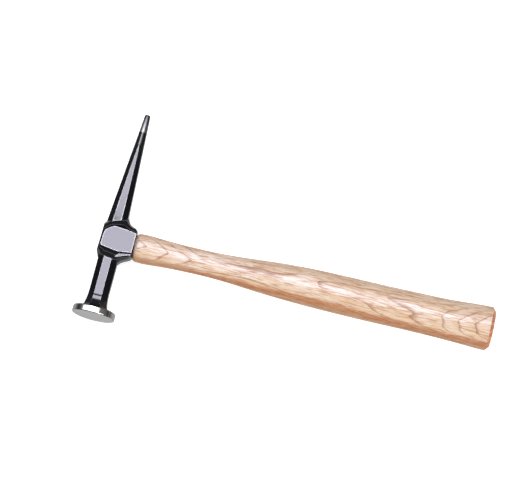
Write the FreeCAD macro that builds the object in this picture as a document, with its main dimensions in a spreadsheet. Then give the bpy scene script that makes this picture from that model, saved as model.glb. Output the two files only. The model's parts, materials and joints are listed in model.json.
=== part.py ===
import FreeCAD, Part
import math
import os
import Sketcher

# Pick hammer for panel work: forged head with a round striking disc and a long pick,
# wedged on a hickory handle. Working frame in mm: origin at the centre of the eye,
# X along the handle to the butt, Y along the head to the pick, Z out of the cheek.

os.makedirs("parts", exist_ok=True)
doc = FreeCAD.newDocument("pick_hammer")
sheet = doc.addObject("Spreadsheet::Sheet", "dims")

V = FreeCAD.Vector
Z_AXIS = V(0, 0, 1)
Y_AXIS = V(0, 1, 0)

DIMENSIONS = [
    # the whole head
    ("hang_angle", "0.75", "lean of the neck axis towards the handle, degrees"),
    ("pick_lean", "1.35", "lean of the pick axis towards the handle, degrees"),
    ("pick_setback", "0.8", "pick axis in front of the eye centre"),
    ("face_depth", "63.8", "eye centre to striking face"),
    ("pick_length", "108.6", "eye centre to the end of the pick"),
    # striking disc
    ("disc_radius", "17.4", "striking disc"),
    ("face_edge", "0.7", "rounding of the face edge"),
    ("rim_back_edge", "1.3", "rounding of the rim behind the face"),
    ("disc_thickness", "5.7", "face to the shoulder behind the rim"),
    ("disc_boss_half", "8", "inner radius of the conical back of the disc"),
    ("disc_boss_rise", "1.3", "rise of the conical back towards the neck"),
    # eight-sided neck and its flare into the disc
    ("neck_flat", "8", "axis to each flat of the neck"),
    ("neck_corner", "8.6", "axis to the softened corners of the neck"),
    ("flare_start", "44", "eye centre to the start of the flare"),
    ("flare_mid_depth", "54.6", "eye centre to the tight part of the flare"),
    ("flare_mid_half", "9.15", "half width at the tight part of the flare"),
    ("flare_foot_depth", "58.1", "eye centre to the foot of the flare"),
    ("flare_foot_half", "12.8", "half width at the foot of the flare"),
    ("flare_foot_radius", "4.55", "radius of the tight part of the flare"),
    ("disc_core_depth", "60.5", "depth to which the neck runs inside the disc"),
    ("neck_top", "4", "height to which the neck runs inside the eye block"),
    # eight-sided pick running out to a round point
    ("pick_root_height", "1", "height at which the pick starts inside the eye block"),
    ("flat_end_height", "82.4", "eye centre to where the flats run out"),
    ("flat_end_half", "3.95", "radius of the pick where the flats run out"),
    ("flat_slope", "0.0605", "slope of the flats to the axis"),
    ("corner_slope", "0.0715", "slope of the softened corners to the axis"),
    ("cone_slope", "0.064", "slope of the round point to the axis"),
    ("tip_round", "1.3", "rounding of the end of the pick"),
    # eye block
    ("cheek_half", "11", "axis to each ground cheek"),
    ("shelf_half", "9", "half thickness at the foot of the cheek bevel"),
    ("web_half", "8.3", "half thickness of the webs above and below the eye"),
    ("crown_half", "4", "half thickness of the full outline"),
    ("ledge_half", "8.7", "axis to the small ledge beside each cheek"),
    ("eye_back_x", "17.6", "eye centre to the back of the block"),
    # eye and tenon
    ("eye_waist_x", "5", "eye centre to the waist of the eye"),
    ("eye_front_x", "10", "eye centre to the end of the tenon, just inside the eye"),
    ("eye_overrun", "3", "run of the eye taper past the front of the block"),
    ("eye_back_long", "8.2", "half length of the eye oval, handle side"),
    ("eye_back_wide", "5.7", "half width of the eye oval, handle side"),
    ("eye_waist_long", "7.9", "half length of the eye oval, waist"),
    ("eye_waist_wide", "5.4", "half width of the eye oval, waist"),
    ("eye_front_long", "8.8", "half length of the eye oval, past the front"),
    ("eye_front_wide", "6.7", "half width of the eye oval, past the front"),
    # wedges
    ("kerf_depth", "18", "depth of the wooden wedge below the tenon end"),
    ("wood_wedge_thick", "3.4", "thick end of the wooden wedge"),
    ("wood_wedge_thin", "0.6", "thin end of the wooden wedge"),
    ("steel_wedge_depth", "12", "length of the steel wedges"),
    ("steel_wedge_thick", "2", "thick end of the steel wedges"),
    ("steel_wedge_thin", "0.4", "thin end of the steel wedges"),
    ("steel_wedge_wide", "9.4", "width of the steel wedges"),
    ("steel_wedge_pitch", "8.6", "spacing of the two steel wedges"),
    # grip
    ("shoulder_round", "3.7", "rounding of the shoulder behind the block"),
    ("butt_chamfer_long", "3.6", "butt chamfer along the handle"),
    ("butt_chamfer_deep", "2.9", "butt chamfer across the handle"),
]

DERIVED = [
    (
        "flare_bend",
        "=((flare_mid_depth - flare_start)^2 + (flare_mid_half - neck_flat)^2)"
        " / (2 * (flare_mid_half - neck_flat))",
        "radius of the long part of the flare",
    ),
    ("corner_ratio", "=neck_corner / neck_flat", "softened corner over flat"),
    ("flare_mid_corner", "=flare_mid_half * corner_ratio", "corner at the flare"),
    ("flare_foot_corner", "=flare_foot_half * corner_ratio", "corner at the foot"),
    (
        "flare_bend_corner",
        "=((flare_mid_depth - flare_start)^2 + (flare_mid_corner - neck_corner)^2)"
        " / (2 * (flare_mid_corner - neck_corner))",
        "radius of the flare at the corners",
    ),
    (
        "pick_root_half",
        "=flat_end_half + (flat_end_height - pick_root_height) * flat_slope",
        "axis to the flats at the root of the pick",
    ),
    (
        "pick_root_corner",
        "=flat_end_half + (flat_end_height - pick_root_height) * corner_slope",
        "axis to the corners at the root of the pick",
    ),
    ("flats_top", "=pick_length + 2", "height to which the flats are drawn"),
    (
        "flats_top_half",
        "=flat_end_half - (flats_top - flat_end_height) * flat_slope",
        "half width of the flats at that height",
    ),
    ("tip_side_height", "=pick_length - tip_round", "start of the tip rounding"),
    (
        "tip_side_half",
        "=flat_end_half - (tip_side_height - flat_end_height) * cone_slope",
        "radius of the pick below the rounding",
    ),
    ("tip_end_half", "=tip_side_half - tip_round", "flat left at the very tip"),
    ("face_flat_half", "=disc_radius - face_edge", "flat part of the face"),
    ("face_edge_depth", "=face_depth - face_edge", "end of the face rounding"),
    ("disc_back_depth", "=face_depth - disc_thickness", "shoulder of the disc"),
    ("rim_end_depth", "=disc_back_depth + rim_back_edge", "end of the plain rim"),
    ("disc_back_half", "=disc_radius - rim_back_edge", "radius of the shoulder"),
    ("boss_depth", "=disc_back_depth - disc_boss_rise", "top of the conical back"),
    ("eye_start_x", "=-(eye_front_x + eye_overrun)", "start of the eye taper"),
    ("eye_end_x", "=eye_back_x + 0.8", "end of the eye taper, inside the grip"),
    ("kerf_end_x", "=kerf_depth - eye_front_x", "bottom of the saw kerf"),
    ("steel_end_x", "=steel_wedge_depth - eye_front_x", "point of the steel wedges"),
    ("zero", "0", "the axis"),
]

# Oval sections of the grip: distance from the eye centre, half height, half width,
# and how far the middle of the oval lies below the eye centre.
GRIP_STATIONS = [
    (17.6, 11.3, 8.2, 1.1),
    (26, 11.9, 8.4, 1.15),
    (36, 11.45, 8.4, 1.1),
    (50, 10.7, 8.15, 1.0),
    (65.5, 10.4, 8.0, 1.0),
    (85, 10.6, 8.2, 1.0),
    (104, 11.7, 8.9, 1.05),
    (129, 13.7, 10.2, 0.95),
    (153.5, 15.05, 11.2, 0.8),
    (188, 15.75, 11.8, 0.95),
    (235, 15.85, 12.0, 0.95),
    (266, 16.15, 12.1, 0.85),
    (286, 16.95, 12.5, 0.65),
    (300, 17.75, 12.85, 0.45),
    (311.1, 18.1, 13.0, 0.4),
]

# The eye block: outline through the middle of its thickness, then the ground cheek.
# Each row is one corner: outline x, y, rounding; cheek x, y, rounding.
BLOCK_CORNERS = [
    (17.6, 10.9, 0.8, 17.3, 6.8, 0.4),
    (15.7, 12.9, 1.5, 17.0, 7.3, 0.4),
    (11.0, 14.6, 4.5, 11.35, 8.2, 6.0),
    (7.4, 20.5, 2.0, 5.85, 9.0, 6.0),
    (-7.6, 14.6, 1.5, -1.15, 9.6, 5.0),
    (-10.2, 11.7, 0.8, -7.6, 4.8, 5.0),
    (-10.9, -11.0, 1.0, -8.5, -7.4, 1.2),
    (-9.4, -14.6, 1.5, -4.7, -8.4, 2.0),
    (-8.2, -17.2, 2.0, -2.7, -8.8, 2.0),
    (6.6, -19.5, 2.0, 5.85, -10.0, 5.0),
    (10.0, -15.6, 4.0, 11.35, -9.4, 5.0),
    (15.7, -12.4, 1.5, 16.7, -8.8, 0.4),
    (17.6, -10.4, 0.8, 17.2, -8.3, 0.4),
]

# The ledge beside each cheek, in the corner between the neck and the handle. The first
# three corners lie outside the block. Each row is x, y, rounding.
LEDGE_CORNERS = [
    (5.0, -24.0, 0.3),
    (19.0, -24.0, 0.3),
    (19.0, -9.7, 0.3),
    (11.6, -10.1, 3.0),
    (7.7, -11.0, 2.0),
    (6.2, -12.6, 1.5),
    (5.0, -14.6, 1.0),
]

# How far each level of the block has grown from the cheek to the full outline.
SHELF_GROWTH = 0.30
WEB_GROWTH = 0.72


def fill_sheet():
    """Write every driving dimension, then the ones that follow from them."""
    for row, (alias, value, note) in enumerate(DIMENSIONS + DERIVED, start=1):
        sheet.set(f"A{row}", alias)
        sheet.set(f"B{row}", value)
        sheet.set(f"C{row}", note)
        sheet.setAlias(f"B{row}", alias)
    first = len(DIMENSIONS) + len(DERIVED) + 2
    for number, station in enumerate(GRIP_STATIONS, start=1):
        row = first + number
        for column, name, value in zip("BCDE", ("at", "high", "wide", "drop"), station):
            sheet.set(f"{column}{row}", str(value))
            sheet.setAlias(f"{column}{row}", f"grip_{name}_{number}")
    doc.recompute()


def value_of(alias):
    return float(sheet.get(alias))


def cell(signed_alias):
    """'-neck_flat' becomes the expression '-dims.neck_flat'."""
    if signed_alias.startswith("-"):
        return "-dims." + signed_alias[1:]
    return "dims." + signed_alias


def signed_value(signed_alias):
    if signed_alias.startswith("-"):
        return -value_of(signed_alias[1:])
    return value_of(signed_alias)


def arc_between(start, end, radius, side):
    """Arc from start to end; side +1 puts the centre left of the way, -1 right."""
    chord = end - start
    middle = (start + end) * 0.5
    left = V(-chord.y, chord.x, 0).normalize()
    reach = math.sqrt(radius**2 - (chord.Length / 2) ** 2)
    centre = middle + left * (reach * side)
    bulge = middle - left * (side * (radius - reach))
    return Part.Arc(start, bulge, end), centre


def pin(sketch, geometry, point, corner, label):
    """Tie one end point of a sketch edge to two cells of the sheet."""
    for axis, signed_alias in zip("XY", corner):
        target = signed_value(signed_alias)
        index = sketch.addConstraint(
            Sketcher.Constraint("Distance" + axis, -1, 1, geometry, point, target)
        )
        sketch.renameConstraint(index, f"{label}_{axis}")
        sketch.setExpression(f"Constraints.{label}_{axis}", cell(signed_alias))


def bound_outline(name, placement, corners, arcs):
    """Closed sketch whose corners and arc radii all come from the sheet.

    corners holds (x, y) alias pairs; arcs maps the number of a step to (radius, side).
    """
    sketch = doc.addObject("Sketcher::SketchObject", name)
    sketch.Placement = placement
    points = [V(signed_value(x), signed_value(y), 0) for x, y in corners]
    ends = []
    for step, start in enumerate(points):
        finish = points[(step + 1) % len(points)]
        if step in arcs:
            radius, side = arcs[step]
            curve, centre = arc_between(start, finish, value_of(radius), side)
            geometry = sketch.addGeometry(curve)
            counter_clockwise = side > 0
            ends.append((geometry, 1, 2) if counter_clockwise else (geometry, 2, 1))
        else:
            geometry = sketch.addGeometry(Part.LineSegment(start, finish))
            ends.append((geometry, 1, 2))
    for step, (geometry, first, last) in enumerate(ends):
        follower, follower_first, _ = ends[(step + 1) % len(ends)]
        sketch.addConstraint(
            Sketcher.Constraint("Coincident", geometry, last, follower, follower_first)
        )
        pin(sketch, geometry, first, corners[step], f"corner_{step}")
        if step in arcs:
            radius, side = arcs[step]
            index = sketch.addConstraint(
                Sketcher.Constraint("Radius", geometry, value_of(radius))
            )
            sketch.renameConstraint(index, f"radius_{step}")
            sketch.setExpression(f"Constraints.radius_{step}", cell(radius))
    return sketch


def neck_frame():
    """The neck and the disc lean towards the handle by the hang angle."""
    return FreeCAD.Placement(V(0, 0, 0), FreeCAD.Rotation(Z_AXIS, -value_of("hang_angle")))


def pick_frame():
    """The pick stands a little forward of the neck and leans a little more."""
    lean = FreeCAD.Rotation(Z_AXIS, -value_of("pick_lean"))
    return FreeCAD.Placement(V(-value_of("pick_setback"), 0, 0), lean)


def revolved(name, sketch, frame):
    solid = doc.addObject("Part::Revolution", name)
    solid.Source = sketch
    solid.Axis = frame.Rotation.multVec(Y_AXIS)
    solid.Base = frame.Base
    solid.Angle = 360
    solid.Solid = True
    return solid


def eight_sided(name, frame, half, half_arcs, profile, profile_arcs):
    """Four slabs square to the pairs of flats, trimmed by a turned outer shape.

    half is the right side of the slab outline; half_arcs numbers its curved steps.
    """
    mirrored = [("-" + x, y) for x, y in reversed(half)]
    last = 2 * len(half) - 2
    arcs = dict(half_arcs)
    arcs.update({last - step: curve for step, curve in half_arcs.items()})
    slabs = []
    for number in range(4):
        turn = FreeCAD.Placement(V(0, 0, 0), FreeCAD.Rotation(Y_AXIS, 45 * number))
        sketch = bound_outline(f"{name}_flats_{number}", frame * turn, half + mirrored, arcs)
        slab = doc.addObject("Part::Extrusion", f"{name}_slab_{number}")
        slab.Base = sketch
        slab.DirMode = "Normal"
        slab.Solid = True
        slab.Symmetric = True
        slab.setExpression("LengthFwd", "dims.flare_foot_half * 4")
        slabs.append(slab)
    sketch = bound_outline(f"{name}_profile", frame, profile, profile_arcs)
    common = doc.addObject("Part::MultiCommon", name)
    common.Shapes = slabs + [revolved(f"{name}_envelope", sketch, frame)]
    return common


def neck():
    """Straight eight-sided neck flaring into the back of the disc."""
    half = [
        ("flare_foot_half", "-disc_core_depth"),
        ("flare_foot_half", "-flare_foot_depth"),
        ("flare_mid_half", "-flare_mid_depth"),
        ("neck_flat", "-flare_start"),
        ("neck_flat", "neck_top"),
    ]
    half_arcs = {1: ("flare_foot_radius", -1), 2: ("flare_bend", -1)}
    profile = [
        ("zero", "-disc_core_depth"),
        ("flare_foot_corner", "-disc_core_depth"),
        ("flare_foot_corner", "-flare_foot_depth"),
        ("flare_mid_corner", "-flare_mid_depth"),
        ("neck_corner", "-flare_start"),
        ("neck_corner", "neck_top"),
        ("zero", "neck_top"),
    ]
    profile_arcs = {2: ("flare_foot_radius", -1), 3: ("flare_bend_corner", -1)}
    return eight_sided("neck", neck_frame(), half, half_arcs, profile, profile_arcs)


def pick():
    """Eight-sided pick whose flats run out into a long round point."""
    half = [
        ("pick_root_half", "pick_root_height"),
        ("flats_top_half", "flats_top"),
    ]
    profile = [
        ("zero", "pick_root_height"),
        ("pick_root_corner", "pick_root_height"),
        ("flat_end_half", "flat_end_height"),
        ("tip_side_half", "tip_side_height"),
        ("tip_end_half", "pick_length"),
        ("zero", "pick_length"),
    ]
    return eight_sided("pick", pick_frame(), half, {}, profile, {3: ("tip_round", 1)})


def striking_disc():
    """Flat round face, plain rim, rounded back edge and slightly conical back."""
    profile = [
        ("zero", "-face_depth"),
        ("face_flat_half", "-face_depth"),
        ("disc_radius", "-face_edge_depth"),
        ("disc_radius", "-rim_end_depth"),
        ("disc_back_half", "-disc_back_depth"),
        ("disc_boss_half", "-boss_depth"),
        ("zero", "-boss_depth"),
    ]
    arcs = {1: ("face_edge", 1), 3: ("rim_back_edge", 1)}
    sketch = bound_outline("disc_profile", neck_frame(), profile, arcs)
    return revolved("striking_disc", sketch, neck_frame())


def rounded_loop(corners):
    """Lines and arcs round a closed polygon; corners holds (x, y, radius)."""
    pieces = []
    count = len(corners)
    starts = []
    for index in range(count):
        x, y, radius = corners[index]
        before = V(*corners[index - 1][:2], 0)
        here = V(x, y, 0)
        after = V(*corners[(index + 1) % count][:2], 0)
        arriving = (here - before).normalize()
        leaving = (after - here).normalize()
        turn = arriving.getAngle(leaving)
        trim = radius * math.tan(turn / 2)
        inward = (leaving - arriving).normalize()
        middle = here + inward * (radius / math.cos(turn / 2) - radius)
        starts.append((here - arriving * trim, middle, here + leaving * trim))
    for index, (enter, middle, leave) in enumerate(starts):
        pieces.append(Part.Arc(enter, middle, leave))
        next_enter = starts[(index + 1) % count][0]
        pieces.append(Part.LineSegment(leave, next_enter))
    return pieces


def block_level(name, growth, height_alias, sign):
    """One cross level of the eye block, between the cheek and the full outline."""
    corners = []
    for outer_x, outer_y, outer_r, cheek_x, cheek_y, cheek_r in BLOCK_CORNERS:
        x = cheek_x + (outer_x - cheek_x) * growth
        y = cheek_y + (outer_y - cheek_y) * growth
        radius = cheek_r + (outer_r - cheek_r) * growth
        corners.append((x, y, radius))
    sketch = doc.addObject("Sketcher::SketchObject", name)
    sketch.addGeometry(rounded_loop(corners))
    expression = cell(height_alias if sign > 0 else "-" + height_alias)
    sketch.setExpression("Placement.Base.z", expression)
    return sketch


def eye_block():
    """Block round the eye: ground cheeks, bevels, webs to the neck and the pick."""
    levels = [
        ("cheek", 0.0, "cheek_half"),
        ("shelf", SHELF_GROWTH, "shelf_half"),
        ("web", WEB_GROWTH, "web_half"),
        ("crown", 1.0, "crown_half"),
    ]
    lower = [block_level(f"{n}_below", g, a, -1) for n, g, a in levels]
    upper = [block_level(f"{n}_above", g, a, 1) for n, g, a in reversed(levels)]
    loft = doc.addObject("Part::Loft", "eye_block")
    loft.Sections = lower + upper
    loft.Solid = True
    loft.Ruled = True
    return loft


def ledge_cutter(name, sign):
    """Space over the ledge beside one cheek."""
    outline = doc.addObject("Sketcher::SketchObject", name + "_outline")
    outline.addGeometry(rounded_loop(LEDGE_CORNERS))
    height = cell("ledge_half" if sign > 0 else "-ledge_half")
    outline.setExpression("Placement.Base.z", height)
    cutter = doc.addObject("Part::Extrusion", name)
    cutter.Base = outline
    cutter.DirMode = "Custom"
    cutter.Dir = V(0, 0, sign)
    cutter.LengthFwd = value_of("cheek_half")
    cutter.Solid = True
    return cutter


def oval(name, at, along, across, drop=None):
    """Ellipse square to the handle, long axis along the head, tied to the sheet."""
    ellipse = doc.addObject("Part::Ellipse", name)
    rotation = FreeCAD.Rotation(V(0, 1, 0), V(0, 0, 1), V(1, 0, 0), "ZXY")
    ellipse.Placement = FreeCAD.Placement(V(0, 0, 0), rotation)
    ellipse.MinorRadius = value_of(across)
    ellipse.MajorRadius = value_of(along)
    ellipse.setExpression("MajorRadius", cell(along))
    ellipse.setExpression("MinorRadius", cell(across))
    ellipse.setExpression("Placement.Base.x", cell(at))
    if drop:
        ellipse.setExpression("Placement.Base.y", cell("-" + drop))
    return ellipse


def eye_taper():
    """The inside of the eye: narrowest in the middle so that the wedges lock it."""
    loft = doc.addObject("Part::Loft", "eye_taper")
    loft.Sections = [
        oval("eye_front_oval", "eye_start_x", "eye_front_long", "eye_front_wide"),
        oval("eye_waist_oval", "eye_waist_x", "eye_waist_long", "eye_waist_wide"),
        oval("eye_back_oval", "eye_end_x", "eye_back_long", "eye_back_wide"),
    ]
    loft.Solid = True
    loft.Ruled = True
    return loft


def tenon_core(taper):
    """The eye taper cut off just inside the front of the block."""
    reach = 60
    box = doc.addObject("Part::Box", "tenon_trim")
    box.Length = reach
    box.Width = reach
    box.Height = reach
    lean = FreeCAD.Rotation(Z_AXIS, -value_of("hang_angle"))
    corner = lean.multVec(V(-value_of("eye_front_x"), -reach / 2, -reach / 2))
    box.Placement = FreeCAD.Placement(corner, lean)
    core = doc.addObject("Part::Common", "tenon_core")
    core.Base = taper
    core.Tool = box
    return core


def grip():
    """Oval grip through all stations, shoulder rounded and butt chamfered."""
    sections = []
    for number in range(1, len(GRIP_STATIONS) + 1):
        names = [f"grip_{what}_{number}" for what in ("at", "high", "wide", "drop")]
        sections.append(oval(f"grip_oval_{number}", *names))
    loft = doc.addObject("Part::Loft", "grip_loft")
    loft.Sections = sections
    loft.Solid = True
    doc.recompute()

    shoulder = doc.addObject("Part::Fillet", "grip_shoulder")
    shoulder.Base = loft
    radius = value_of("shoulder_round")
    start = GRIP_STATIONS[0][0]
    shoulder.Edges = [(edge_at(loft.Shape, start), radius, radius)]
    doc.recompute()

    butt = doc.addObject("Part::Chamfer", "grip")
    butt.Base = shoulder
    end = GRIP_STATIONS[-1][0]
    deep = value_of("butt_chamfer_deep")
    along = value_of("butt_chamfer_long")
    butt.Edges = [(edge_at(shoulder.Shape, end), deep, along)]
    return butt


def edge_at(shape, x):
    """Number of the one closed edge lying square to the handle at x."""
    for number, edge in enumerate(shape.Edges, start=1):
        box = edge.BoundBox
        if abs(box.XMin - x) < 0.01 and abs(box.XMax - x) < 0.01 and box.YLength > 4:
            return number
    raise ValueError(f"no closed edge at x = {x}")


def wedge_solid(name, thick, thin, half_width, end_x, across, offset):
    """Tapered wedge driven along the handle, blunt end past the tenon end.

    across is the direction of its width; the thickness tapers at right angles to it.
    """
    wedge = doc.addObject("Part::Wedge", name)
    blunt = -(value_of("eye_front_x") + value_of("eye_overrun"))
    depth = value_of(end_x) + value_of("eye_front_x")
    growth = (value_of(thick) - value_of(thin)) / depth
    blunt_half = (value_of(thick) + growth * value_of("eye_overrun")) / 2
    thin_half = value_of(thin) / 2
    wedge.Ymin = blunt
    wedge.Ymax = value_of(end_x)
    wedge.Xmin = -half_width
    wedge.Xmax = half_width
    wedge.X2min = -half_width
    wedge.X2max = half_width
    wedge.Zmin = -blunt_half
    wedge.Zmax = blunt_half
    wedge.Z2min = -thin_half
    wedge.Z2max = thin_half
    wedge.setExpression("Ymax", cell(end_x))
    rotation = FreeCAD.Rotation(across, V(1, 0, 0), across.cross(V(1, 0, 0)), "ZXY")
    wedge.Placement = FreeCAD.Placement(V(0, offset, 0), rotation)
    return wedge


def boolean(kind, name, base, tool):
    result = doc.addObject("Part::" + kind, name)
    result.Base = base
    result.Tool = tool
    return result


def bench_placement():
    """Lay the hammer on its side: disc rim, end of the pick and butt on Z = 0."""
    rim_reach = value_of("disc_back_depth") + value_of("rim_back_edge") * 0.9
    rim = neck_frame().multVec(V(0, -rim_reach, -value_of("disc_radius")))
    tip = pick_frame().multVec(V(0, value_of("tip_side_height"), -value_of("tip_side_half")))
    butt_x, _, butt_half, butt_drop = GRIP_STATIONS[-1]
    butt = V(butt_x - value_of("butt_chamfer_long"), -butt_drop, -butt_half)
    up = (butt - rim).cross(tip - rim).normalize()
    along = (V(1, 0, 0) - up * up.x).normalize()
    across = up.cross(along)
    matrix = FreeCAD.Matrix(
        along.x, along.y, along.z, 0,
        across.x, across.y, across.z, 0,
        up.x, up.y, up.z, 0,
        0, 0, 0, 1,
    )
    return FreeCAD.Placement(matrix)


def centred(placement, features):
    """Shift the laid-down hammer so that its box stands centred on the origin."""
    boxes = [f.Shape.transformed(placement.toMatrix()).optimalBoundingBox() for f in features]
    x_mid = (min(b.XMin for b in boxes) + max(b.XMax for b in boxes)) / 2
    y_mid = (min(b.YMin for b in boxes) + max(b.YMax for b in boxes)) / 2
    z_low = min(b.ZMin for b in boxes)
    return FreeCAD.Placement(V(-x_mid, -y_mid, -z_low), FreeCAD.Rotation()) * placement


def check_features():
    for feature in doc.Objects:
        bad = {"Invalid", "Error"} & set(feature.State)
        if bad:
            raise ValueError(f"{feature.Name}: {sorted(bad)}")


def export(pieces):
    for piece in pieces:
        shape = piece.Shape
        if shape.isNull() or not shape.isValid() or len(shape.Solids) != 1:
            raise ValueError(f"{piece.Label}: bad shape, {len(shape.Solids)} solids")
        print(f"{piece.Label}: {shape.Volume / 1000:.2f} cm3")
        shape.exportStep(f"parts/{piece.Label}.step")


fill_sheet()

taper = eye_taper()
core = tenon_core(taper)

head_blank = doc.addObject("Part::MultiFuse", "head_blank")
head_blank.Shapes = [neck(), pick(), striking_disc(), eye_block()]
head_blank.Refine = True
ledges = doc.addObject("Part::MultiFuse", "ledges")
ledges.Shapes = [ledge_cutter("upper_ledge", 1), ledge_cutter("lower_ledge", -1)]
head_forging = boolean("Cut", "head_forging", head_blank, ledges)
head = boolean("Cut", "head", head_forging, taper)

wood_half = 12
wood_prism = wedge_solid(
    "kerf", "wood_wedge_thick", "wood_wedge_thin", wood_half, "kerf_end_x", V(0, 1, 0), 0
)
steel_half = value_of("steel_wedge_wide") / 2
steel_offset = value_of("steel_wedge_pitch") / 2
steel_prisms = [
    wedge_solid(
        name, "steel_wedge_thick", "steel_wedge_thin", steel_half, "steel_end_x", V(0, 0, 1), offset
    )
    for name, offset in (("upper_prism", steel_offset), ("lower_prism", -steel_offset))
]
steel_pair = doc.addObject("Part::MultiFuse", "steel_pair")
steel_pair.Shapes = steel_prisms

steel_wedge_upper = boolean("Common", "steel_wedge_upper", core, steel_prisms[0])
steel_wedge_lower = boolean("Common", "steel_wedge_lower", core, steel_prisms[1])

wood_in_eye = boolean("Common", "wood_in_eye", core, wood_prism)
wooden_wedge = boolean("Cut", "wooden_wedge", wood_in_eye, steel_pair)

handle_blank = boolean("Fuse", "handle_blank", grip(), core)
wedge_space = boolean("Fuse", "wedge_space", wood_prism, steel_pair)
handle = boolean("Cut", "handle", handle_blank, wedge_space)
doc.recompute()

pieces = [head, handle, wooden_wedge, steel_wedge_upper, steel_wedge_lower]
lying = centred(bench_placement(), pieces)
for piece in pieces:
    piece.Placement = lying
doc.recompute()

check_features()
export(pieces)
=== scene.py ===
"""Looks of the pick hammer: enamelled and ground head, lacquered hickory handle, studio."""

import json
import math

import bpy
from mathutils import Matrix, Vector

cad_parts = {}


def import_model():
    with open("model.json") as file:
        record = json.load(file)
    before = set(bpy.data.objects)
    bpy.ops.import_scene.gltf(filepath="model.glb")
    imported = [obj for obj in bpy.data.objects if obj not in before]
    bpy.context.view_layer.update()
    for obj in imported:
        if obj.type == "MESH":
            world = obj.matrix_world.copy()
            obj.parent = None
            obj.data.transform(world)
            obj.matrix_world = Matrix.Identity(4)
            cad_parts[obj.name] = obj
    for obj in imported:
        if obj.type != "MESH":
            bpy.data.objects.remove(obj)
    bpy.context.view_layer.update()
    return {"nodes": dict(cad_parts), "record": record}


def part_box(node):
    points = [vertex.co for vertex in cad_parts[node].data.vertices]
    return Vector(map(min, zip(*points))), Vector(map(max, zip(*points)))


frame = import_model()

MM = 0.001
NODES = frame["nodes"]
MOUNTS = {mount["name"]: mount for mount in frame["record"]["mounts"]}

# ---------------------------------------------------------------- the hammer's own axes


def mount_place(name):
    """Position and outward direction of one of the record's mounts."""
    mount = MOUNTS[name]
    return Vector(mount["pos_m"]), Vector(mount["axis"]).normalized()


FACE_POINT, FACE_OUT = mount_place("striking_face")
TIP_POINT, TIP_OUT = mount_place("pick_point")
BUTT_POINT, ALONG = mount_place("butt_end")

CHEEK_OUT = ALONG.cross(-FACE_OUT).normalized()
ACROSS = CHEEK_OUT.cross(ALONG)
HAMMER_AXES = Matrix((ALONG, ACROSS, CHEEK_OUT)).transposed()

HEAD_LOW, HEAD_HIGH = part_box("head")
HANDLE_START = Vector((HEAD_HIGH.x, BUTT_POINT.y, BUTT_POINT.z))

# ---------------------------------------------------------------- node helpers


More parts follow.
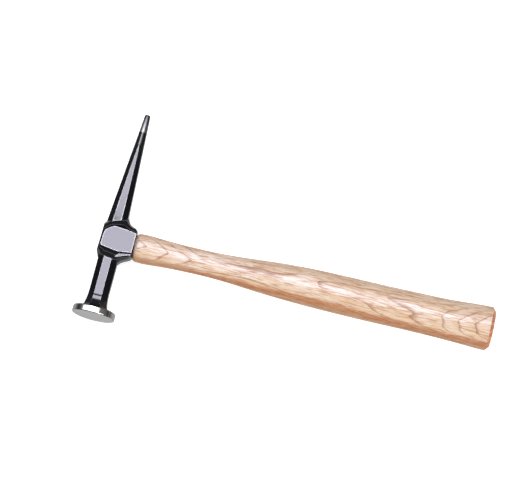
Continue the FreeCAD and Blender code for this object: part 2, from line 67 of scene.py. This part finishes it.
class Nodes:
    """Builds one material's node tree in short calls."""

    COLUMN_WIDTH = 180

    def __init__(self, name):
        self.material = bpy.data.materials.new(name)
        self.material.use_nodes = True
        self.tree = self.material.node_tree
        self.tree.nodes.clear()

    def add(self, kind, **settings):
        column = len(self.tree.nodes)
        node = self.tree.nodes.new(kind)
        node.location = (column * self.COLUMN_WIDTH, 0)
        for name, value in settings.items():
            setattr(node, name, value)
        return node

    def plug(self, value, socket):
        """Links a socket, or sets a plain value."""
        if isinstance(value, bpy.types.NodeSocket):
            self.tree.links.new(value, socket)
        else:
            socket.default_value = value

    def math(self, operation, *values):
        node = self.add("ShaderNodeMath", operation=operation)
        for value, socket in zip(values, node.inputs):
            self.plug(value, socket)
        return node.outputs[0]

    def plus(self, first, second):
        return self.math("ADD", first, second)

    def minus(self, first, second):
        return self.math("SUBTRACT", first, second)

    def times(self, first, second):
        return self.math("MULTIPLY", first, second)

    def wander(self, noise, reach):
        """A noise made to swing to both sides of nought."""
        return self.times(self.minus(noise, 0.5), reach)

    def dot(self, first, second):
        node = self.add("ShaderNodeVectorMath", operation="DOT_PRODUCT")
        self.plug(first, node.inputs[0])
        self.plug(second, node.inputs[1])
        return node.outputs["Value"]

    def stretch(self, vector, scale):
        node = self.add("ShaderNodeVectorMath", operation="MULTIPLY")
        self.plug(vector, node.inputs[0])
        self.plug(scale, node.inputs[1])
        return node.outputs[0]

    def rest_place(self):
        return self.add("ShaderNodeTexCoord").outputs["Object"]

    def hammer_place(self, origin):
        """Coordinates along the handle, along the head and out of the cheek."""
        node = self.add("ShaderNodeMapping", vector_type="TEXTURE")
        self.plug(self.rest_place(), node.inputs["Vector"])
        node.inputs["Location"].default_value = origin
        node.inputs["Rotation"].default_value = HAMMER_AXES.to_euler()
        return node.outputs[0]

    def behind(self, point, direction):
        """Depth below a plane through point, measured against its outward direction."""
        reach = self.dot(self.rest_place(), tuple(direction))
        return self.minus(point.dot(direction), reach)

    def facing(self, direction):
        """Cosine between the surface and a direction of the hammer."""
        normal = self.add("ShaderNodeNewGeometry").outputs["Normal"]
        return self.dot(normal, tuple(direction))

    def noise(self, vector, scale=1.0, detail=2.0, roughness=0.5):
        node = self.add("ShaderNodeTexNoise")
        self.plug(vector, node.inputs["Vector"])
        node.inputs["Scale"].default_value = scale
        node.inputs["Detail"].default_value = detail
        node.inputs["Roughness"].default_value = roughness
        return node.outputs["Fac"]

    def map_range(self, value, low, high, to_low=0.0, to_high=1.0, smooth=False):
        kind = "SMOOTHSTEP" if smooth else "LINEAR"
        node = self.add("ShaderNodeMapRange", interpolation_type=kind)
        for part, socket in zip((value, low, high, to_low, to_high), node.inputs):
            self.plug(part, socket)
        return node.outputs[0]

    def mix(self, factor, first, second):
        """Between two colours; a mix node has its colour sockets at 6 and 7, its result at 2."""
        node = self.add("ShaderNodeMix", data_type="RGBA")
        self.plug(factor, node.inputs["Factor"])
        self.plug(first, node.inputs[6])
        self.plug(second, node.inputs[7])
        return node.outputs[2]

    def edges(self, radius, low, high):
        """1 within a radius of a sharp edge, 0 on open surfaces."""
        rounded = self.add("ShaderNodeBevel", samples=6)
        rounded.inputs["Radius"].default_value = radius
        true_normal = self.add("ShaderNodeNewGeometry").outputs["Normal"]
        likeness = self.dot(rounded.outputs[0], true_normal)
        return self.map_range(likeness, 1 - low, 1 - high)

    def bump(self, height, strength, distance):
        node = self.add("ShaderNodeBump")
        node.inputs["Strength"].default_value = strength
        node.inputs["Distance"].default_value = distance
        self.plug(height, node.inputs["Height"])
        return node.outputs[0]

    def surface(self, constants, **linked):
        """Principled surface: constants by socket name, linked by keyword."""
        shader = self.add("ShaderNodeBsdfPrincipled")
        for name, value in constants.items():
            shader.inputs[name].default_value = value
        for word, value in linked.items():
            name = "Base Color" if word == "color" else word.capitalize()
            self.plug(value, shader.inputs[name])
        out = self.add("ShaderNodeOutputMaterial")
        self.tree.links.new(shader.outputs[0], out.inputs["Surface"])
        return self.material


def rgb(red, green, blue):
    return (red, green, blue, 1.0)


def grey(level):
    return rgb(level, level, level)


# ---------------------------------------------------------------- head

PAINT_EDGE_BEHIND_FACE = 4.9 * MM
BARE_TIP_LENGTH = 15.5 * MM
PAINT_EDGE_WOBBLE = 0.5 * MM
EDGE_WEAR = 0.5

ENAMEL_DEEP = rgb(0.002, 0.0025, 0.003)
ENAMEL_HAZY = rgb(0.006, 0.0065, 0.008)
TIP_STEEL_DARK = rgb(0.20, 0.21, 0.22)
TIP_STEEL_LIGHT = rgb(0.38, 0.39, 0.41)
# the darkest colour of the bare steel, right at the point
TIP_STEEL_AT_POINT = rgb(0.03, 0.032, 0.034)


def bare_ends(n, place):
    """Where the disc and the end of the pick are bare, and the depth behind that end."""
    wobble = n.wander(n.noise(place, scale=400.0, detail=3.0), PAINT_EDGE_WOBBLE)
    from_face = n.plus(n.behind(FACE_POINT, FACE_OUT), wobble)
    from_tip = n.plus(n.behind(TIP_POINT, TIP_OUT), wobble)
    disc = n.map_range(from_face, PAINT_EDGE_BEHIND_FACE, PAINT_EDGE_BEHIND_FACE + 0.15 * MM, 1, 0)
    tip = n.map_range(from_tip, BARE_TIP_LENGTH, BARE_TIP_LENGTH + 0.2 * MM, 1, 0)
    return disc, tip, from_tip


def worn_edges(n):
    """Enamel rubbed thin along the sharp edges of the flats, so that a little steel shows."""
    towards_cheek = n.math("ABSOLUTE", n.facing(CHEEK_OUT))
    flats = n.map_range(towards_cheek, 0.93, 0.97, 0.0, EDGE_WEAR)
    return n.times(n.edges(0.7 * MM, 0.004, 0.02), flats)


def head_material():
    """Gloss black enamel; the striking disc and the end of the pick are ground steel."""
    n = Nodes("enamel_and_ground_steel")
    place = n.hammer_place(FACE_POINT)
    disc, tip, from_tip = bare_ends(n, place)
    bare = n.math("MAXIMUM", disc, tip)
    rubbed = worn_edges(n)

    # turned rim and face: rings round the neck; coarser ground tip: streaks along it
    turning = n.noise(n.stretch(place, (60.0, 2600.0, 60.0)), detail=4.0)
    grind = n.noise(n.stretch(place, (2600.0, 60.0, 2600.0)), detail=4.0)
    smudge = n.noise(place, scale=120.0, detail=3.0)
    haze = n.noise(place, scale=90.0)

    disc_color = n.mix(smudge, grey(0.46), grey(0.60))
    tip_color = n.mix(grind, TIP_STEEL_DARK, TIP_STEEL_LIGHT)
    # the bare steel darkens towards the point
    toward_point = n.map_range(from_tip, 1 * MM, 14 * MM, 0.85, 0.0)
    tip_color = n.mix(toward_point, tip_color, TIP_STEEL_AT_POINT)
    enamel_color = n.mix(haze, ENAMEL_DEEP, ENAMEL_HAZY)
    color = n.mix(tip, n.mix(disc, enamel_color, disc_color), tip_color)
    color = n.mix(n.times(rubbed, n.minus(1.0, bare)), color, grey(0.5))
    metallic = n.math("MAXIMUM", bare, rubbed)

    disc_rough = n.map_range(turning, 0.3, 0.7, 0.12, 0.24)
    tip_rough = n.map_range(grind, 0.3, 0.7, 0.30, 0.42)
    enamel_rough = n.map_range(smudge, 0.3, 0.7, 0.05, 0.08)
    rough = n.mix(tip, n.mix(disc, enamel_rough, disc_rough), tip_rough)

    # a little orange peel, and the long grinding strokes of the flats under the enamel
    orange_peel = n.noise(place, scale=260.0)
    strokes = n.noise(n.stretch(place, (700.0, 9.0, 60.0)))
    relief = n.plus(n.times(orange_peel, 0.3), n.times(strokes, 0.7))
    normal = n.bump(relief, 0.12, 0.3 * MM)
    return n.surface({"IOR": 1.5}, color=color, metallic=metallic, roughness=rough, normal=normal)


# ---------------------------------------------------------------- handle

RING_SPACING = 2.1 * MM
RING_WARP = 7.0 * MM
PITH_BELOW = 85 * MM
PITH_ASIDE = -1 * MM
PITH_DRIFT = 0.028
BOW_MIDDLE = 150 * MM
BOW = 0.42

HEART_START = 9.3 * MM
HEART_SLOPE = 0.020
HEART_RAGGED = 5 * MM
# how far the middle of the painted highlight band wanders
HIGHLIGHT_BAND_WANDER = 16 * MM
END_GRAIN_SLANT = math.radians(40)

# cream of the painted highlight along the handle's middle; tan of the wood and of the painted shade
# towards its edges
PAINTED_HIGHLIGHT_CREAM = rgb(0.73, 0.67, 0.62)
TAN_AND_EDGE_SHADE = rgb(0.61, 0.50, 0.38)
LATE_WOOD = rgb(0.55, 0.38, 0.22)
STREAK_BROWN = rgb(0.54, 0.35, 0.19)
GRAIN_BROWN = rgb(0.38, 0.19, 0.08)
FIBRE_BROWN = rgb(0.40, 0.24, 0.13)
RING_BROWN = rgb(0.26, 0.115, 0.045)
# brown of the painted shade along the handle's lower edge
PAINTED_SHADE_BROWN = rgb(0.35, 0.18, 0.085)
HEART_ORANGE = rgb(0.32, 0.095, 0.018)
PORE_BROWN = rgb(0.20, 0.09, 0.04)
END_RED = rgb(0.30, 0.075, 0.03)
END_TAN = rgb(0.62, 0.29, 0.11)
END_FIBRE = rgb(0.20, 0.045, 0.02)


class Grain:
    """Fields of the handle's wood: growth rings, and noises from broad to fine."""

    def __init__(self, n, place):
        split = n.add("ShaderNodeSeparateXYZ")
        n.plug(place, split.inputs[0])
        self.along, self.across, self.out = split.outputs
        phase = n.math("FRACT", self.rings(n, place))
        self.early = n.map_range(phase, 0.0, 0.22, 1.0, 0.0, smooth=True)
        self.late = n.map_range(phase, 0.35, 1.0, 0.0, 1.0, smooth=True)

        def along_fibres(slow, fast, detail, roughness=0.5):
            return n.noise(n.stretch(place, (slow, fast, fast)), detail=detail, roughness=roughness)

        self.blotch = along_fibres(20.0, 150.0, 3.0)
        self.streak = along_fibres(30.0, 420.0, 3.0, 0.6)
        self.coarse = along_fibres(75.0, 800.0, 2.0, 0.6)
        self.fibre = along_fibres(150.0, 2400.0, 3.0, 0.65)
        self.pores = n.map_range(along_fibres(120.0, 1500.0, 2.0), 0.58, 0.66)

    def rings(self, n, place):
        """Distance from the pith of a gently bowed stem, in rings."""
        warp = n.wander(n.noise(n.stretch(place, (11.0, 60.0, 60.0)), detail=1.5), RING_WARP)
        pith = n.math("MULTIPLY_ADD", self.along, PITH_DRIFT, PITH_ASIDE)
        aside = n.minus(self.across, pith)
        height = n.plus(self.out, PITH_BELOW)
        radius = n.math("SQRT", n.plus(n.times(aside, aside), n.times(height, height)))
        from_middle = n.minus(self.along, BOW_MIDDLE)
        bow = n.times(n.times(from_middle, from_middle), BOW)
        return n.math("DIVIDE", n.plus(n.plus(radius, bow), warp), RING_SPACING)


def wood_grain_and_painted_highlight(n, grain):
    """Painted highlight in cream along the middle, tan wood darkening as painted shade towards both
    edges, with rings, streaks and fibres.
    """
    middle = n.math("ABSOLUTE", n.plus(grain.across, n.wander(grain.blotch, HIGHLIGHT_BAND_WANDER)))
    # painted highlight: cream along the middle of the handle; painted shade: tan towards both edges
    color = n.mix(n.map_range(middle, 1 * MM, 9 * MM, smooth=True), PAINTED_HIGHLIGHT_CREAM, TAN_AND_EDGE_SHADE)
    color = n.mix(n.times(grain.late, 0.35), color, LATE_WOOD)
    color = n.mix(n.map_range(grain.streak, 0.48, 0.60, 0.0, 0.55), color, STREAK_BROWN)
    color = n.mix(n.map_range(grain.coarse, 0.50, 0.62, 0.0, 0.75), color, GRAIN_BROWN)
    color = n.mix(n.map_range(grain.fibre, 0.42, 0.62, 0.0, 0.50), color, FIBRE_BROWN)
    ring_dark = n.times(grain.early, n.map_range(grain.streak, 0.3, 0.6, 0.35, 0.95))
    return n.mix(ring_dark, color, RING_BROWN)


def heartwood_and_painted_shade(n, grain, color):
    """A ragged line of orange heartwood near the lower edge; beyond it, towards the lower edge,
    painted shade in brown.
    """
    line = n.plus(grain.across, n.math("MULTIPLY_ADD", grain.along, HEART_SLOPE, HEART_START))
    ragged = n.minus(n.plus(grain.streak, grain.coarse), 1.0)
    line = n.plus(line, n.times(ragged, HEART_RAGGED))
    # painted shade: brown below the heartwood line, towards the handle's lower edge
    painted_shade_below = n.map_range(line, 1.5 * MM, -1.5 * MM, 0.0, 0.75, smooth=True)
    color = n.mix(painted_shade_below, color, PAINTED_SHADE_BROWN)
    heart = n.map_range(n.math("ABSOLUTE", line), 0.7 * MM, 2.8 * MM, 0.9, 0.0, smooth=True)
    heart = n.times(heart, n.map_range(grain.along, 15 * MM, 50 * MM, 0.2, 1.0))
    heart = n.times(heart, n.map_range(grain.fibre, 0.38, 0.58, 0.35, 1.0))
    return n.mix(heart, color, HEART_ORANGE)


def end_grain(n, place, grain, color):
    """Slanting rings on the sawn butt."""
    slanted = n.add("ShaderNodeMapping")
    n.plug(place, slanted.inputs["Vector"])
    slanted.inputs["Rotation"].default_value = (END_GRAIN_SLANT, 0, 0)
    rings = n.noise(n.stretch(slanted.outputs[0], (60.0, 130.0, 700.0)), detail=3.0)
    end_color = n.mix(n.map_range(rings, 0.42, 0.62), END_RED, END_TAN)
    end_color = n.mix(n.map_range(grain.fibre, 0.45, 0.62, 0.0, 0.6), end_color, END_FIBRE)
    sawn = n.map_range(n.facing(ALONG), 0.35, 0.6)
    return n.mix(n.times(sawn, 0.9), color, end_color)


def handle_material():
    """Lacquered hickory: growth rings, fine streaks, open pores, a line of heartwood; painted
    highlight along the middle and painted shade towards the edges.
    """
    n = Nodes("lacquered_hickory")
    place = n.hammer_place(HANDLE_START)
    grain = Grain(n, place)
    color = heartwood_and_painted_shade(n, grain, wood_grain_and_painted_highlight(n, grain))
    open_pores = n.times(grain.pores, n.map_range(grain.early, 0, 1, 0.35, 0.8))
    color = n.mix(open_pores, color, PORE_BROWN)
    color = end_grain(n, place, grain, color)

    rough = n.map_range(grain.streak, 0.3, 0.7, 0.40, 0.52)
    hollows = n.math("MAXIMUM", grain.pores, n.times(grain.early, 0.3))
    normal = n.bump(n.minus(1.0, hollows), 0.25, 0.05 * MM)
    lacquer = {"IOR": 1.5, "Coat Weight": 0.2, "Coat Roughness": 0.18}
    return n.surface(lacquer, color=color, roughness=rough, normal=normal)


# ---------------------------------------------------------------- wedges

WEDGE_WOOD_DARK = rgb(0.20, 0.085, 0.035)
WEDGE_WOOD_LIGHT = rgb(0.42, 0.22, 0.10)
WEDGE_STEEL_DARK = rgb(0.30, 0.30, 0.31)
WEDGE_STEEL_LIGHT = rgb(0.55, 0.55, 0.56)


def wooden_wedge_material():
    """Darker end grain across the tenon."""
    n = Nodes("wedge_end_grain")
    grain = n.noise(n.stretch(n.hammer_place(FACE_POINT), (80.0, 900.0, 1800.0)), detail=3.0)
    color = n.mix(grain, WEDGE_WOOD_DARK, WEDGE_WOOD_LIGHT)
    normal = n.bump(grain, 0.3, 0.05 * MM)
    return n.surface({"IOR": 1.5, "Roughness": 0.5}, color=color, normal=normal)


def steel_wedge_material():
    """Mild steel ground off flush with the eye."""
    n = Nodes("ground_mild_steel")
    grind = n.noise(n.stretch(n.hammer_place(FACE_POINT), (900.0, 140.0, 2400.0)), detail=4.0)
    color = n.mix(grind, WEDGE_STEEL_DARK, WEDGE_STEEL_LIGHT)
    rough = n.map_range(grind, 0.3, 0.7, 0.28, 0.45)
    normal = n.bump(grind, 0.2, 0.03 * MM)
    return n.surface({"Metallic": 1.0}, color=color, roughness=rough, normal=normal)


def finish_node(name, material):
    """Gives a CAD node its finish."""
    NODES[name].material_slots[0].material = material


finish_node("head", head_material())
finish_node("handle", handle_material())
finish_node("wooden_wedge", wooden_wedge_material())
wedge_steel = steel_wedge_material()
finish_node("steel_wedge_upper", wedge_steel)
finish_node("steel_wedge_lower", wedge_steel)

# ---------------------------------------------------------------- studio

FLOOR_HALF = 8.0
FLOOR_BELOW_BENCH = 0.1 * MM
FLOOR_GLOW = 0.5


def floor():
    """White paper that glows faintly, so that shadows stay light; reflections leave it out."""
    corners = [(-1, -1), (1, -1), (1, 1), (-1, 1)]
    mesh = bpy.data.meshes.new("studio_floor")
    mesh.from_pydata([(x * FLOOR_HALF, y * FLOOR_HALF, 0) for x, y in corners], [], [range(4)])
    piece = bpy.data.objects.new("studio_floor", mesh)
    piece.location.z = -FLOOR_BELOW_BENCH
    bpy.context.scene.collection.objects.link(piece)
    n = Nodes("white_paper")
    paper = n.mix(n.noise(n.rest_place(), scale=3.0), grey(0.90), grey(0.88))
    finish = {
        "Emission Color": grey(1),
        "Emission Strength": FLOOR_GLOW,
        "Specular IOR Level": 0.0,
        "Roughness": 0.9,
    }
    mesh.materials.append(n.surface(finish, color=paper))
    piece.visible_glossy = False


LILAC_WHITE = (0.873, 0.85, 1.0)
COOL_WHITE = (0.905, 0.88, 1.0)
WARM_WHITE = (1.0, 0.98, 0.95)

# each softbox as the head sees it: tilts from overhead along X and along Y in degrees,
# brightness and tint; the gap between the first two makes a dark line across the flare
SOFTBOXES = {
    "near_softbox": ((-22, 6), (5.7, 22.4), 13.3, LILAC_WHITE),
    "far_softbox": ((-22, 6), (25.5, 31.8), 13.0, COOL_WHITE),
    "left_wing": ((-59, -22), (5.7, 33.7), 3.0, WARM_WHITE),
    "right_wing": ((6, 30), (5.7, 33.7), 3.0, WARM_WHITE),
    "front_fill": ((25, 68), (-68.3, -25.3), 6.0, WARM_WHITE),
}
SOFTBOX_HEIGHT = 3.0


def softbox(name, tilt_x, tilt_y, radiance, tint):
    """Level rectangle of light above the head, facing down."""
    left, right = (math.tan(math.radians(tilt)) for tilt in tilt_x)
    near, far = (math.tan(math.radians(tilt)) for tilt in tilt_y)
    light = bpy.data.lights.new(name, "AREA")
    light.shape = "RECTANGLE"
    light.size = (right - left) * SOFTBOX_HEIGHT
    light.size_y = (far - near) * SOFTBOX_HEIGHT
    light.energy = radiance * math.pi * light.size * light.size_y
    light.color = tint
    lamp = bpy.data.objects.new(name, light)
    middle = Vector(((left + right) / 2, (near + far) / 2, 1.0))
    lamp.location = (HEAD_LOW + HEAD_HIGH) / 2 + middle * SOFTBOX_HEIGHT
    lamp.visible_camera = False
    bpy.context.scene.collection.objects.link(lamp)


# brightness of the room by the sine of the height: paper below, dark walls, grey ceiling
SURROUNDINGS = {-1.0: 0.62, -0.5: 0.50, -0.12: 0.05, 0.12: 0.05, 0.35: 0.18, 0.9: 0.22}


def world():
    """Plain room round the table."""
    room = bpy.data.worlds.new("studio")
    room.use_nodes = True
    tree = room.node_tree
    place = tree.nodes.new("ShaderNodeTexCoord")
    split = tree.nodes.new("ShaderNodeSeparateXYZ")
    height = tree.nodes.new("ShaderNodeMapRange")
    levels = tree.nodes.new("ShaderNodeValToRGB")
    tree.links.new(place.outputs["Generated"], split.inputs[0])
    tree.links.new(split.outputs["Z"], height.inputs["Value"])
    height.inputs["From Min"].default_value = -1.0
    tree.links.new(height.outputs[0], levels.inputs["Fac"])
    stops = levels.color_ramp.elements
    while len(stops) < len(SURROUNDINGS):
        stops.new(0.5)
    for stop, (rise, brightness) in zip(stops, SURROUNDINGS.items()):
        stop.position = (rise + 1) / 2
        stop.color = grey(brightness)
    tree.links.new(levels.outputs[0], tree.nodes["Background"].inputs["Color"])
    bpy.context.scene.world = room


# ---------------------------------------------------------------- camera

CAMERA_AZIMUTH = math.radians(7.84)
CAMERA_ELEVATION = math.radians(81.21)
CAMERA_ROLL = math.radians(5.36)
CAMERA_DISTANCE = 1.6
CAMERA_AIM = Vector((-0.0279, 0.0021, 0.0034))
CAMERA_LENS = 135.3


def camera():
    """Long lens nearly overhead, turned so that the handle runs down to the right."""
    back = Vector((math.sin(CAMERA_AZIMUTH) * math.cos(CAMERA_ELEVATION),
                   -math.cos(CAMERA_AZIMUTH) * math.cos(CAMERA_ELEVATION),
                   math.sin(CAMERA_ELEVATION)))
    level = Vector((0, 0, 1)).cross(back).normalized()
    upright = back.cross(level)
    right = level * math.cos(CAMERA_ROLL) + upright * math.sin(CAMERA_ROLL)
    up = upright * math.cos(CAMERA_ROLL) - level * math.sin(CAMERA_ROLL)
    lens = bpy.data.cameras.new("camera")
    lens.lens = CAMERA_LENS
    lens.sensor_width = 36
    lens.clip_start = 0.05
    lens.clip_end = 50
    view = bpy.data.objects.new("camera", lens)
    turned = Matrix((right, up, back)).transposed().to_4x4()
    view.matrix_world = Matrix.Translation(CAMERA_AIM + back * CAMERA_DISTANCE) @ turned
    bpy.context.scene.collection.objects.link(view)
    bpy.context.scene.camera = view


floor()
for name, settings in SOFTBOXES.items():
    softbox(name, *settings)
world()
camera()
bpy.context.scene.view_settings.view_transform = "Standard"
